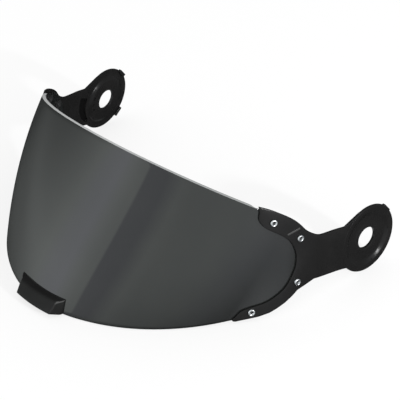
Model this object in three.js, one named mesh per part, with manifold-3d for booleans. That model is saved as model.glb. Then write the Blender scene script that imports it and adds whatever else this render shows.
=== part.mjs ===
// Motorcycle helmet visor: a smoke tinted lens with a moulded side arm riveted to each end.
// Lengths are in millimetres and +Z is up. The visor stands on the lens's lower edge and on both pivot hubs.
import * as THREE from 'three';
import { mergeVertices } from 'three/addons/utils/BufferGeometryUtils.js';
import { TessellateModifier } from 'three/addons/modifiers/TessellateModifier.js';
import Module from 'manifold-3d';

const wasm = await Module();
wasm.setup();

// Wrap of the lens, seen in plan from the front centre back to the pivots
const pivotHalfSpan = 125;
const lensReach = 147.3;
const frontRadius = 104.3;
const frontSweep = THREE.MathUtils.degToRad(25.8);
const hubToe = THREE.MathUtils.degToRad(6.7);
const domeRadius = 295;

// Lens
const lensThickness = 2.2;
const lensTopDrop = 15;
const lensTopRise = 5.6;
const lensBottomDrop = 128;
const lensBottomRise = 44.9;
const lensEdgeSlope = 1.2;
const lensColumns = 18;
const lobeColumns = 8;
const lensRows = 8;

// Side arms
const forkReach = 97.4;
const forkDrop = 82.6;
const armThickness = 1.7;
const armEdgeRound = 0.5;
const ribWidth = 0.9;
const ribHeight = 0.45;

// Pivot hub at the end of each arm
const hubRadius = 24;
const hubSetBack = 0.3;
const hubInset = 0.5;
const hubInsetStart = 49.5;
const hubInsetEnd = 38;
const hubHoleRadius = 7.55;
const hubFloorRadius = 17;
const hubWallTopRadius = 20;
const hubBossRadius = 18.4;
const hubRecess = 1.2;
const hubFloorThickness = 2.2;
const hubLipWidth = 1.6;
const hubLipHeight = 0.3;
const hubSegments = 36;
const grooveInnerRadius = 20.9;
const grooveWideRadius = 29.1;
const grooveNarrowRadius = 23.3;
const grooveDepth = 1.1;
const grooveSteps = 12;
const dimpleCircleRadius = 14.2;
const dimpleRadius = 1.15;
const dimpleDepth = 0.8;
const catchLength = 7.6;
const catchThickness = 2.3;
const catchHeight = 1.6;
const catchProud = 0.6;

// Rivets and washers
const rivetShankRadius = 1.4;
const rivetHeadRadius = 2.5;
const rivetHeadHeight = 0.9;
const rivetBoreRadius = 0.9;
const rivetTailRadius = 2.3;
const rivetTailTipRadius = 1.7;
const rivetTailHeight = 0.9;
const washerRadius = 3.7;
const washerThickness = 0.8;
const rivetSegments = 14;

// Lift tab at the lower front edge
const tabHalfWidth = 26;
const tabEndFlare = 1.2;
const tabFrontHalfWidth = 19.6;
const tabFrontTaper = 1.8;
const tabHeight = 9.9;
const tabOverhang = 0.4;
const tabThickness = 7.4;
const tabTopThickness = 4;
const tabEdgeThickness = 1.9;
const tabEndThickness = 3.1;
const tabBevel = 2.4;
const padThickness = 0.6;
const padMargin = 1.4;
const tabColumns = 12;
const tabRows = 4;

// Fits and mesh fineness
const fitGap = 0.3;
const cutOverrun = 1;
const facetLength = 11;
const normalStep = 0.05;

// Places on an arm as shares: forward of the pivot in forkReach, above it in forkDrop
const upperEdgeShares = [
  [0.996, -0.115], [0.92, -0.1], [0.852, -0.094], [0.78, -0.091], [0.719, -0.094], [0.667, -0.105],
  [0.606, -0.124], [0.549, -0.128], [0.488, -0.119], [0.426, -0.081], [0.359, -0.034],
];
const lowerEdgeShares = [
  [0.078, -0.29], [0.148, -0.33], [0.242, -0.39], [0.342, -0.447], [0.379, -0.502], [0.428, -0.574],
  [0.443, -0.63], [0.47, -0.704], [0.505, -0.774], [0.532, -0.821], [0.584, -0.883], [0.64, -0.935],
  [0.7, -0.989], [0.718, -0.996],
];
const windowShares = [
  [0.731, -0.99], [0.721, -0.951], [0.712, -0.9], [0.668, -0.842], [0.604, -0.773], [0.56, -0.697],
  [0.528, -0.605], [0.522, -0.523], [0.532, -0.431], [0.547, -0.387], [0.576, -0.331], [0.637, -0.274],
  [0.702, -0.247], [0.783, -0.24], [0.876, -0.241], [0.928, -0.225], [0.958, -0.198], [0.972, -0.156],
];
const lobeTopShares = [
  [0.719, -0.113], [0.626, -0.144], [0.534, -0.184], [0.472, -0.242], [0.431, -0.327], [0.417, -0.412],
];
const lobeBottomShares = [
  [0.678, -0.958], [0.657, -0.925], [0.616, -0.886], [0.575, -0.843], [0.529, -0.785], [0.486, -0.708],
  [0.448, -0.617], [0.421, -0.521], [0.417, -0.436],
];
const rivetShares = [[0.855, -0.177], [0.621, -0.199], [0.469, -0.515], [0.644, -0.869]];
const ribEndShares = [[0.722, -0.217], [0.66, -0.131]];
const shoulderForwardShare = 1.146;
const shoulderHeightShare = 0.042;
const heelForwardShare = 0.24;
const domeFadeShares = [0.76, 0.33];
const grooveAngles = [THREE.MathUtils.degToRad(-13), THREE.MathUtils.degToRad(-68)];
const dimpleAngles = [-13, -34, -53].map(THREE.MathUtils.degToRad);
const catchAngles = [102.5, 192].map(THREE.MathUtils.degToRad);

// The wrap is one front arc, one longer side arc and a straight run that holds the hub
const sideHeading = Math.PI / 2 - hubToe;
const frontHalfArc = frontRadius * frontSweep;
const spanLeft = pivotHalfSpan - frontRadius * Math.sin(frontSweep);
const dropLeft = lensReach - frontRadius * (1 - Math.cos(frontSweep));
const arcSpanShare = Math.sin(sideHeading) - Math.sin(frontSweep);
const arcDropShare = Math.cos(frontSweep) - Math.cos(sideHeading);
const wrapShare = arcSpanShare * Math.sin(sideHeading) - arcDropShare * Math.cos(sideHeading);
const sideRadius = (spanLeft * Math.sin(sideHeading) - dropLeft * Math.cos(sideHeading)) / wrapShare;
const sideRun = (arcSpanShare * dropLeft - arcDropShare * spanLeft) / wrapShare;
const sideArcEnd = frontHalfArc + sideRadius * (sideHeading - frontSweep);
const pivotAlong = sideArcEnd + sideRun;
const [domeFadeStart, domeFadeEnd] = domeFadeShares.map((share) => pivotAlong - share * forkReach);

// Layers, counted outwards from the lens's outer face
const lensInner = -lensThickness;
const armInner = fitGap;
const armOuter = armInner + armThickness;
const hubFloorOuter = armOuter - hubRecess;
const hubFloorInner = hubFloorOuter - hubFloorThickness;
const washerOuter = lensInner - fitGap;
const washerInner = washerOuter - washerThickness;
const rivetHoleRadius = rivetShankRadius + fitGap;

// Point of the curved sheet at a distance along the wrap and a height above the pivots
function sheetPoint(along, height) {
  const reach = Math.abs(along);
  let heading = reach / frontRadius;
  let span = frontRadius * Math.sin(heading);
  let drop = frontRadius * (1 - Math.cos(heading));
  if (reach > frontHalfArc) {
    const sideAngle = frontSweep + (reach - frontHalfArc) / sideRadius;
    heading = Math.min(sideAngle, sideHeading);
    const run = Math.max(reach - sideArcEnd, 0);
    span = frontRadius * Math.sin(frontSweep);
    span += sideRadius * (Math.sin(heading) - Math.sin(frontSweep)) + run * Math.cos(heading);
    drop = frontRadius * (1 - Math.cos(frontSweep));
    drop += sideRadius * (Math.cos(frontSweep) - Math.cos(heading)) + run * Math.sin(heading);
  }
  const fade = 1 - THREE.MathUtils.smoothstep(reach, domeFadeStart, domeFadeEnd);
  const bulge = -fade * height * height / (2 * domeRadius);
  const side = along < 0 ? -1 : 1;
  const x = side * (span + bulge * Math.sin(heading));
  const y = drop - lensReach - bulge * Math.cos(heading);
  return new THREE.Vector3(x, y, height);
}

// Outward direction of the sheet at the same place
function sheetNormal(along, height) {
  const back = sheetPoint(along - normalStep, height);
  const alongTangent = sheetPoint(along + normalStep, height).sub(back);
  const below = sheetPoint(along, height - normalStep);
  const upTangent = sheetPoint(along, height + normalStep).sub(below);
  return alongTangent.cross(upTangent).normalize();
}

function wrapPoint(along, height, out) {
  return sheetPoint(along, height).addScaledVector(sheetNormal(along, height), out);
}

// Closed solids for cutting and joining, and their way back to a geometry
function toSolid(geometry) {
  const bare = geometry.clone();
  bare.deleteAttribute('normal');
  bare.deleteAttribute('uv');
  const merged = mergeVertices(bare);
  const vertProperties = new Float32Array(merged.attributes.position.array);
  const corners = [];
  for (let i = 0; i < merged.index.count; i += 3) {
    const triangle = [merged.index.getX(i), merged.index.getX(i + 1), merged.index.getX(i + 2)];
    if (new Set(triangle).size === triangle.length) {
      corners.push(...triangle);
    }
  }
  const triVerts = new Uint32Array(corners);
  return new wasm.Manifold(new wasm.Mesh({ numProp: 3, vertProperties, triVerts }));
}

function toGeometry(solid) {
  const mesh = solid.getMesh();
  const geometry = new THREE.BufferGeometry();
  geometry.setAttribute('position', new THREE.BufferAttribute(new Float32Array(mesh.vertProperties), 3));
  geometry.setIndex(new THREE.BufferAttribute(new Uint32Array(mesh.triVerts), 1));
  return geometry;
}

// A flat geometry drawn as (along, height, out) takes the sheet's curve
function wrapGeometry(flat) {
  const position = flat.attributes.position;
  for (let i = 0; i < position.count; i += 1) {
    const point = wrapPoint(position.getX(i), position.getY(i), position.getZ(i));
    position.setXYZ(i, point.x, point.y, point.z);
  }
  flat.computeVertexNormals();
  return flat;
}

function mirrorGeometry(geometry) {
  const mirrored = geometry.clone();
  const position = mirrored.attributes.position;
  const index = mirrored.index;
  for (let i = 0; i < position.count; i += 1) {
    position.setX(i, -position.getX(i));
  }
  for (let i = 0; i < index.count; i += 3) {
    const first = index.getX(i);
    index.setX(i, index.getX(i + 1));
    index.setX(i + 1, first);
  }
  mirrored.computeVertexNormals();
  return mirrored;
}

// A place on an arm, measured from the pivot with the front at negative x
function armPlace([forwardShare, heightShare]) {
  return new THREE.Vector2(-forwardShare * forkReach, heightShare * forkDrop);
}

// Heights of the lens's edges at a distance along the wrap
const lobeTop = lobeTopShares.map(armPlace);
const lobeBottom = lobeBottomShares.map(armPlace);
const lobeTopStart = pivotAlong + lobeTop[0].x;
const lobeBottomStart = pivotAlong + lobeBottom[0].x;
const lobeEnd = pivotAlong + lobeTop.at(-1).x;
const forkStart = pivotAlong - forkReach;

function heightOnCurve(points, along) {
  const curve = new THREE.SplineCurve(points).getSpacedPoints(points.length * hubSegments);
  const place = along - pivotAlong;
  const next = Math.max(curve.findIndex((point) => point.x >= place), 1);
  const share = (place - curve[next - 1].x) / (curve[next].x - curve[next - 1].x);
  return THREE.MathUtils.lerp(curve[next - 1].y, curve[next].y, THREE.MathUtils.clamp(share, 0, 1));
}

function lensTopHeight(along) {
  if (along >= lobeTopStart) {
    return heightOnCurve(lobeTop, along);
  }
  const share = along / lobeTopStart;
  return (lobeTop[0].y + lensTopDrop - lensTopRise) * share ** 4 + lensTopRise * share ** 2 - lensTopDrop;
}

function lensBottomHeight(along) {
  if (along >= lobeBottomStart) {
    return heightOnCurve(lobeBottom, along);
  }
  const share = along / lobeBottomStart;
  const lastRise = lobeBottom[0].y + lensBottomDrop - lensBottomRise;
  return lastRise * share ** 4 + lensBottomRise * share ** 2 - lensBottomDrop;
}

// Lens columns crowd together towards the rounded rear lobes
function lensColumnPlaces() {
  const half = [];
  for (let i = 0; i <= lensColumns; i += 1) {
    half.push(lobeTopStart * i / lensColumns);
  }
  for (let i = 1; i <= lobeColumns; i += 1) {
    const turn = Math.PI / 2 * i / (lobeColumns + 1 / 2);
    half.push(lobeTopStart + (lobeEnd - lobeTopStart) * Math.sin(turn));
  }
  const mirrored = half.slice(1).map((along) => -along);
  return [...mirrored.reverse(), ...half];
}

// A closed block of columns by rows, with corner places given by a function
function blockGeometry(columns, rows, cornerAt) {
  const points = [];
  for (const face of [0, 1]) {
    for (let i = 0; i < columns; i += 1) {
      for (let j = 0; j < rows; j += 1) {
        points.push(cornerAt(i, j, face));
      }
    }
  }
  const corner = (i, j, face) => face * columns * rows + i * rows + j;
  const index = [];
  const addFace = (a, b, c, d) => index.push(a, b, c, a, c, d);
  for (let i = 0; i < columns - 1; i += 1) {
    for (let j = 0; j < rows - 1; j += 1) {
      addFace(corner(i, j, 0), corner(i, j + 1, 0), corner(i + 1, j + 1, 0), corner(i + 1, j, 0));
      addFace(corner(i, j, 1), corner(i + 1, j, 1), corner(i + 1, j + 1, 1), corner(i, j + 1, 1));
    }
    const top = rows - 1;
    addFace(corner(i, 0, 0), corner(i + 1, 0, 0), corner(i + 1, 0, 1), corner(i, 0, 1));
    addFace(corner(i, top, 1), corner(i + 1, top, 1), corner(i + 1, top, 0), corner(i, top, 0));
  }
  for (let j = 0; j < rows - 1; j += 1) {
    const last = columns - 1;
    addFace(corner(0, j, 0), corner(0, j, 1), corner(0, j + 1, 1), corner(0, j + 1, 0));
    addFace(corner(last, j, 1), corner(last, j, 0), corner(last, j + 1, 0), corner(last, j + 1, 1));
  }
  const geometry = new THREE.BufferGeometry().setFromPoints(points);
  geometry.setIndex(index);
  return geometry;
}

// Round cutter through the sheet at a place given along and above
function holeCutter(along, height, radius, inner, outer, segments = rivetSegments) {
  const depth = outer - inner + 2 * cutOverrun;
  const cutter = new THREE.CylinderGeometry(radius, radius, depth, segments);
  cutter.rotateX(Math.PI / 2);
  cutter.translate(along, height, (inner + outer) / 2);
  return toSolid(cutter);
}

const rivetPlaces = rivetShares.map(armPlace);

function lensGeometry() {
  const places = lensColumnPlaces();
  const flat = blockGeometry(places.length, lensRows + 1, (i, j, face) => {
    const reach = Math.abs(places[i]);
    const slope = lensEdgeSlope * (1 - THREE.MathUtils.smoothstep(reach, forkStart, lobeTopStart));
    const top = lensTopHeight(reach) + (face === 0 ? slope : 0);
    const height = THREE.MathUtils.lerp(lensBottomHeight(reach), top, j / lensRows);
    return new THREE.Vector3(places[i], height, face === 0 ? lensInner : 0);
  });
  let solid = toSolid(flat);
  for (const place of rivetPlaces) {
    for (const side of [-1, 1]) {
      const along = side * (pivotAlong + place.x);
      solid = solid.subtract(holeCutter(along, place.y, rivetHoleRadius, lensInner, 0));
    }
  }
  return wrapGeometry(toGeometry(solid));
}

// The hub's rim is centred a little behind the pivot hole
const rimCentre = new THREE.Vector2(hubSetBack, 0);
const shoulder = new THREE.Vector2(-shoulderForwardShare * hubRadius, shoulderHeightShare * hubRadius);
const upperEdge = [...upperEdgeShares.map(armPlace), shoulder];
const lowerEdge = lowerEdgeShares.map(armPlace);

// Outline of the plate: fork, window, neck and the round hub end
function armShape() {
  const reach = shoulder.clone().sub(rimCentre);
  const hubStart = reach.angle() - Math.acos(hubRadius / reach.length());
  const hubEnd = -Math.PI + Math.acos(heelForwardShare);
  const shape = new THREE.Shape(new THREE.SplineCurve(upperEdge).getPoints(upperEdge.length * 2));
  shape.absarc(rimCentre.x, rimCentre.y, hubRadius, hubStart, hubEnd, true);
  for (const point of lowerEdge) {
    shape.lineTo(point.x, point.y);
  }
  const inner = new THREE.SplineCurve(windowShares.map(armPlace));
  for (const point of inner.getPoints(windowShares.length + rivetSegments)) {
    shape.lineTo(point.x, point.y);
  }
  return shape;
}

function plateGeometry() {
  const plate = new THREE.ExtrudeGeometry(armShape(), {
    depth: armThickness - 2 * armEdgeRound,
    curveSegments: hubSegments / 4,
    bevelThickness: armEdgeRound,
    bevelSize: armEdgeRound,
    bevelOffset: -armEdgeRound,
    bevelSegments: 1,
  });
  plate.translate(0, 0, armInner + armEdgeRound);
  return plate;
}

// A round solid on an axis square to the plate, from a section of radius and out values
function turnedSolid(section, centre) {
  const profile = section.map(([radius, out]) => new THREE.Vector2(radius, out));
  const turned = new THREE.LatheGeometry(profile, hubSegments);
  turned.rotateX(Math.PI / 2);
  turned.translate(centre.x, centre.y, 0);
  return toSolid(turned);
}

// Low rounded lip round the hub's outer face
function lipSolid() {
  const lipInner = hubRadius - hubLipWidth;
  return turnedSolid([
    [lipInner, armOuter - armThickness / 2],
    [hubRadius - armEdgeRound, armOuter - armThickness / 2],
    [hubRadius, armOuter - armEdgeRound],
    [hubRadius - hubLipWidth / 2, armOuter + hubLipHeight],
    [lipInner, armOuter],
    [lipInner, armOuter - armThickness / 2],
  ], rimCentre);
}

// Boss on the inner side that carries the floor round the pivot hole
function bossSolid() {
  return turnedSolid([
    [0, hubFloorInner],
    [hubBossRadius - armEdgeRound, hubFloorInner],
    [hubBossRadius, hubFloorInner + armEdgeRound],
    [hubBossRadius, (armInner + armOuter) / 2],
    [0, (armInner + armOuter) / 2],
  ], new THREE.Vector2());
}

// The recess in the outer face has a cone wall, and the pivot hole goes right through
function recessCutter() {
  const slope = (hubWallTopRadius - hubFloorRadius) / hubRecess;
  return turnedSolid([
    [0, hubFloorOuter],
    [hubFloorRadius, hubFloorOuter],
    [hubWallTopRadius + slope * cutOverrun, armOuter + cutOverrun],
    [0, armOuter + cutOverrun],
  ], rimCentre);
}

// Curved blind groove in the arm's inner face, round the front of the hub, narrowing downwards
function grooveCutter() {
  const [start, end] = grooveAngles.map((angle) => Math.PI - angle);
  const shape = new THREE.Shape();
  shape.absarc(0, 0, grooveInnerRadius, end, start, true);
  for (let step = 0; step <= grooveSteps; step += 1) {
    const share = step / grooveSteps;
    const angle = start + (end - start) * share;
    const radius = grooveWideRadius - (grooveWideRadius - grooveNarrowRadius) * share ** 2;
    shape.lineTo(radius * Math.cos(angle), radius * Math.sin(angle));
  }
  const cutter = new THREE.ExtrudeGeometry(shape, {
    depth: grooveDepth + cutOverrun,
    curveSegments: hubSegments / 4,
    bevelEnabled: false,
  });
  cutter.translate(0, 0, armInner - cutOverrun);
  return toSolid(cutter);
}

function catchBlock(angle) {
  const block = new THREE.BoxGeometry(catchThickness, catchLength, catchHeight + armThickness / 2);
  const radius = hubRadius + catchProud - catchThickness / 2;
  block.translate(radius, 0, armInner + armThickness / 4 - catchHeight / 2);
  block.rotateZ(Math.PI - angle);
  block.translate(rimCentre.x, rimCentre.y, 0);
  return toSolid(block);
}

function ribBlock() {
  const [start, end] = ribEndShares.map(armPlace);
  const length = start.distanceTo(end);
  const rib = new THREE.BoxGeometry(length, ribWidth, ribHeight + armThickness / 2);
  rib.rotateZ(Math.atan2(end.y - start.y, end.x - start.x));
  const middle = start.clone().lerp(end, 1 / 2);
  rib.translate(middle.x, middle.y, armOuter + ribHeight / 2 - armThickness / 4);
  return toSolid(rib);
}

// The neck steps inwards behind the lens, so the hub lies closer to the helmet than the fork
function insetHub(flat) {
  const position = flat.attributes.position;
  for (let i = 0; i < position.count; i += 1) {
    const distance = Math.hypot(position.getX(i), position.getY(i));
    const share = 1 - THREE.MathUtils.smoothstep(distance, hubInsetEnd, hubInsetStart);
    position.setZ(i, position.getZ(i) - share * hubInset);
  }
}

function armGeometry() {
  let solid = toSolid(plateGeometry()).add(ribBlock()).add(lipSolid()).add(bossSolid());
  for (const angle of catchAngles) {
    solid = solid.add(catchBlock(angle));
  }
  solid = solid.subtract(recessCutter()).subtract(grooveCutter());
  solid = solid.subtract(holeCutter(0, 0, hubHoleRadius, hubFloorInner, hubFloorOuter, hubSegments));
  for (const place of rivetPlaces) {
    solid = solid.subtract(holeCutter(place.x, place.y, rivetHoleRadius, armInner, armOuter));
  }
  for (const angle of dimpleAngles) {
    const x = -dimpleCircleRadius * Math.cos(angle);
    const y = dimpleCircleRadius * Math.sin(angle);
    const top = hubFloorInner + dimpleDepth - cutOverrun;
    const bottom = hubFloorInner;
    solid = solid.subtract(holeCutter(x, y, dimpleRadius, bottom, top));
  }
  const flat = toGeometry(solid).toNonIndexed();
  const fine = new TessellateModifier(facetLength, hubSegments).modify(flat);
  insetHub(fine);
  fine.translate(pivotAlong, 0, 0);
  return wrapGeometry(mergeVertices(fine));
}

// Tubular rivet on its own axis: z is zero at the lens's outer face
function rivetGeometry() {
  const headUnder = armOuter + fitGap;
  const tailOuter = washerInner - fitGap;
  const boreEnd = lensInner;
  const profile = [
    [0, tailOuter - rivetTailHeight],
    [rivetTailTipRadius, tailOuter - rivetTailHeight],
    [rivetTailRadius, tailOuter - rivetTailHeight / 2],
    [rivetTailRadius, tailOuter],
    [rivetShankRadius, tailOuter],
    [rivetShankRadius, headUnder],
    [rivetHeadRadius, headUnder],
    [rivetHeadRadius, headUnder + rivetHeadHeight / 2],
    [(rivetHeadRadius + rivetBoreRadius) / 2, headUnder + rivetHeadHeight],
    [rivetBoreRadius, headUnder + rivetHeadHeight],
    [rivetBoreRadius, boreEnd],
    [0, boreEnd],
  ].map(([radius, out]) => new THREE.Vector2(radius, out));
  const rivet = new THREE.LatheGeometry(profile, rivetSegments);
  rivet.rotateX(Math.PI / 2);
  return mergeVertices(rivet);
}

function washerGeometry() {
  const profile = [
    [rivetHoleRadius, washerInner],
    [washerRadius, washerInner],
    [washerRadius, washerOuter],
    [rivetHoleRadius, washerOuter],
    [rivetHoleRadius, washerInner],
  ].map(([radius, out]) => new THREE.Vector2(radius, out));
  const washer = new THREE.LatheGeometry(profile, rivetSegments);
  washer.rotateX(Math.PI / 2);
  return mergeVertices(washer);
}

// Lift tab section, from the lens side round the front, at a place along the lens
function tabGeometry() {
  const base = fitGap + padThickness + fitGap;
  const flat = blockGeometry(tabColumns + 1, tabRows, (i, j, face) => {
    const share = 2 * i / tabColumns - 1;
    const front = Math.sign(share) * Math.min(Math.abs(share) / (1 - 2 / tabColumns), 1);
    const isEnd = i === 0 || i === tabColumns;
    const rise = j / (tabRows - 1);
    const flare = tabEndFlare * (1 - rise);
    const frontHalfWidth = tabFrontHalfWidth + tabFrontTaper * rise;
    const along = isEnd ? share * (tabHalfWidth + flare) : front * frontHalfWidth;
    const bottom = lensBottomHeight(Math.abs(along)) + fitGap;
    const top = lensBottomHeight(Math.abs(along)) + tabHeight;
    const middle = (tabThickness + tabTopThickness) / 2;
    const outs = [tabThickness, middle, tabTopThickness, tabEdgeThickness];
    const heights = [bottom, (bottom + top) / 2, top - tabBevel, top];
    const endOut = THREE.MathUtils.lerp(tabEndThickness, tabEdgeThickness, rise);
    const out = isEnd ? endOut : outs[j];
    if (face === 0) {
      return new THREE.Vector3(along, heights[j], base);
    }
    const dropped = j === 0 && !isEnd ? heights[j] - tabOverhang : heights[j];
    return new THREE.Vector3(along, dropped, out);
  });
  return wrapGeometry(toGeometry(toSolid(flat)));
}

function padGeometry() {
  const flat = blockGeometry(tabColumns + 1, 2, (i, j, face) => {
    const along = (2 * i / tabColumns - 1) * (tabHalfWidth - padMargin);
    const bottom = lensBottomHeight(Math.abs(along)) + padMargin;
    const top = lensBottomHeight(Math.abs(along)) + tabHeight - padMargin;
    return new THREE.Vector3(along, j === 0 ? bottom : top, fitGap + face * padThickness);
  });
  return wrapGeometry(flat);
}

// Finishes
const lensFinish = new THREE.MeshStandardMaterial({ color: 0x46484a, roughness: 0.08, metalness: 0 });
const armFinish = new THREE.MeshStandardMaterial({ color: 0x202022, roughness: 0.5, metalness: 0 });
const rivetFinish = new THREE.MeshStandardMaterial({ color: 0xc4c6c8, roughness: 0.3, metalness: 1 });
const washerFinish = new THREE.MeshStandardMaterial({ color: 0x28282a, roughness: 0.5, metalness: 0 });
const tabFinish = new THREE.MeshStandardMaterial({ color: 0x1c1c1e, roughness: 0.6, metalness: 0 });
const padFinish = new THREE.MeshStandardMaterial({ color: 0x2c2c2c, roughness: 0.9, metalness: 0 });

function namedMesh(name, geometry, finish) {
  const mesh = new THREE.Mesh(geometry, finish);
  mesh.name = name;
  return mesh;
}

const visor = new THREE.Group();
visor.add(namedMesh('lens', lensGeometry(), lensFinish));
const leftArmGeometry = armGeometry();
visor.add(namedMesh('left_arm', leftArmGeometry, armFinish));
visor.add(namedMesh('right_arm', mirrorGeometry(leftArmGeometry), armFinish.clone()));
visor.add(namedMesh('lift_tab', tabGeometry(), tabFinish));
visor.add(namedMesh('lift_tab_pad', padGeometry(), padFinish));

// Rivets and washers stand square to the sheet at each rivet place
for (const [sideName, side] of [['left', 1], ['right', -1]]) {
  rivetPlaces.forEach((place, i) => {
    const along = side * (pivotAlong + place.x);
    const seat = new THREE.Group();
    seat.position.copy(sheetPoint(along, place.y));
    seat.quaternion.setFromUnitVectors(new THREE.Vector3(0, 0, 1), sheetNormal(along, place.y));
    seat.add(namedMesh(`${sideName}_rivet_${i + 1}`, rivetGeometry(), rivetFinish.clone()));
    seat.add(namedMesh(`${sideName}_washer_${i + 1}`, washerGeometry(), washerFinish.clone()));
    visor.add(seat);
  });
}

// The tilt that levels the lens's lower edge with the lowest points of the hubs
function standingTilt() {
  let tilt = 0;
  for (let i = 0; i <= lensColumns; i += 1) {
    const along = lobeBottomStart * i / lensColumns;
    const edge = wrapPoint(along, lensBottomHeight(along), lensInner);
    const slope = Math.atan2(-edge.z, -edge.y);
    tilt = Math.max(tilt, slope - Math.asin(hubRadius / Math.hypot(edge.y, edge.z)));
  }
  return tilt;
}

visor.rotation.x = -standingTilt();
visor.updateMatrixWorld(true);
const bounds = new THREE.Box3().setFromObject(visor, true);
const middle = bounds.getCenter(new THREE.Vector3());
visor.position.set(-middle.x, -middle.y, -bounds.min.z);

export default visor;
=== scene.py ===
# %% [markdown]
# # A motorcycle helmet visor
#
# The visor is a smoke tinted lens, bent round the front of a helmet, with a black side arm
# riveted to each end. Each arm ends in a round hub that turns on the helmet. A small tab at
# the lower front edge lifts the visor.
#
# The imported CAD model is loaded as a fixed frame. Its solids are faceted, so this script
# draws the same pieces again with smooth surfaces and rounded edges, and gives each one the
# finish of the real material. All pieces are one rigid body, named root.

import math

import bpy
import numpy as np
from mathutils import Matrix, Vector


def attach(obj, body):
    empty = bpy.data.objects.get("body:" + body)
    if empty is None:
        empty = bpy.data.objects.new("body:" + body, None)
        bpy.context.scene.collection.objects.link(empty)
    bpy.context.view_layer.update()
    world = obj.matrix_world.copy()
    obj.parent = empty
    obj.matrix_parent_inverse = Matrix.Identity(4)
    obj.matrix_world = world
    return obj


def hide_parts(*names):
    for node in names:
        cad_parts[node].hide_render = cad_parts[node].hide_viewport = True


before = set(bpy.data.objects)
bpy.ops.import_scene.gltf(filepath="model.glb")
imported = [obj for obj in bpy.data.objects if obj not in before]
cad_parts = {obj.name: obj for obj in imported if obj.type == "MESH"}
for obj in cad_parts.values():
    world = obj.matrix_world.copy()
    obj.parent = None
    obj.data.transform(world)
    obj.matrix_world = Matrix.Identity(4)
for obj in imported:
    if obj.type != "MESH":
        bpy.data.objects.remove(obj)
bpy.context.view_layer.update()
MM = 0.001

# %% [markdown]
# ## The camera
#
# The photograph was taken with a long lens, from above the visor and in front of its left
# arm. The camera's place and axes were worked out from the ellipses of the two pivot holes
# and from the lens's edges. It comes first, so every later piece can be judged from it.

# %% Camera
CAMERA_PLACE = Vector((0.54364, -0.5156, 0.56434))
CAMERA_RIGHT = Vector((0.72096, 0.69297, 0.00317))
CAMERA_UP = Vector((-0.40339, 0.41597, 0.81501))
FOCAL_LENGTH_PIXELS = 1381.2
FRAME_PIXELS = 400
SENSOR_WIDTH = 36

bpy.ops.object.camera_add(location=CAMERA_PLACE)
camera = bpy.context.object
camera.name = "camera"
axes = Matrix((CAMERA_RIGHT, CAMERA_UP, CAMERA_RIGHT.cross(CAMERA_UP))).transposed()
camera.rotation_euler = axes.to_euler()
camera.data.sensor_width = SENSOR_WIDTH
camera.data.lens = FOCAL_LENGTH_PIXELS / FRAME_PIXELS * SENSOR_WIDTH
camera.data.clip_start = 0.01
bpy.context.scene.camera = camera
print("camera lens in mm:", round(camera.data.lens, 1))

# %% [markdown]
# ## The curved sheet
#
# A real lens is cut from a flat sheet and then bent. Its pieces are easiest to draw in the
# same way: flat, with x along the wrap, y as the height above the pivots and z as the
# distance out from the lens's outer face. One rule then bends them all. In plan, the wrap
# is a front arc, a longer side arc and a straight run that holds the hub. The lens also
# bulges a little between its upper and lower edges, and the bulge dies out towards the hub.
# All these lengths are in millimetres.

# %% Sizes of the wrap
PIVOT_HALF_SPAN = 125
LENS_REACH = 147.3
FRONT_RADIUS = 104.3
FRONT_SWEEP = math.radians(25.8)
HUB_TOE = math.radians(6.7)
DOME_RADIUS = 295
FORK_REACH = 97.4
FORK_DROP = 82.6
DOME_FADE_SHARES = (0.76, 0.33)
STANDING_TILT = math.radians(39.4721)
PIVOT_PLACE = np.array([0, 78.3661, 24.0744])

side_heading = math.pi / 2 - HUB_TOE
front_half_arc = FRONT_RADIUS * FRONT_SWEEP
span_left = PIVOT_HALF_SPAN - FRONT_RADIUS * math.sin(FRONT_SWEEP)
drop_left = LENS_REACH - FRONT_RADIUS * (1 - math.cos(FRONT_SWEEP))
arc_span = math.sin(side_heading) - math.sin(FRONT_SWEEP)
arc_drop = math.cos(FRONT_SWEEP) - math.cos(side_heading)
wrap_share = arc_span * math.sin(side_heading) - arc_drop * math.cos(side_heading)
side_radius = (span_left * math.sin(side_heading) - drop_left * math.cos(side_heading)) / wrap_share
side_run = (arc_span * drop_left - arc_drop * span_left) / wrap_share
side_arc_end = front_half_arc + side_radius * (side_heading - FRONT_SWEEP)
pivot_along = side_arc_end + side_run
dome_fade_start, dome_fade_end = [pivot_along - share * FORK_REACH for share in DOME_FADE_SHARES]
print("wrap from the middle to a pivot, in mm:", round(pivot_along, 1))


# %% The rule that bends a flat drawing
def smooth_step(value, start, end):
    """Rises gently from 0 at the start to 1 at the end."""
    share = np.clip((value - start) / (end - start), 0, 1)
    return share * share * (3 - 2 * share)


def sheet_point(along, height):
    """Where a drawn point lands on the lens's outer face."""
    reach = np.abs(along)
    on_side = reach > front_half_arc
    front_heading = np.minimum(reach / FRONT_RADIUS, FRONT_SWEEP)
    side_angle = FRONT_SWEEP + (reach - front_half_arc) / side_radius
    heading = np.where(on_side, np.minimum(side_angle, side_heading), front_heading)
    run = np.maximum(reach - side_arc_end, 0)
    span = FRONT_RADIUS * np.sin(front_heading)
    side_span = side_radius * (np.sin(heading) - math.sin(FRONT_SWEEP))
    span += on_side * (side_span + run * np.cos(heading))
    drop = FRONT_RADIUS * (1 - np.cos(front_heading))
    side_drop = side_radius * (math.cos(FRONT_SWEEP) - np.cos(heading))
    drop += on_side * (side_drop + run * np.sin(heading))
    fade = 1 - smooth_step(reach, dome_fade_start, dome_fade_end)
    bulge = -fade * height**2 / (2 * DOME_RADIUS)
    x = np.where(along < 0, -1, 1) * (span + bulge * np.sin(heading))
    y = drop - LENS_REACH - bulge * np.cos(heading)
    return np.stack([x, y, height], axis=-1)


NORMAL_STEP = 0.05


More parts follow.
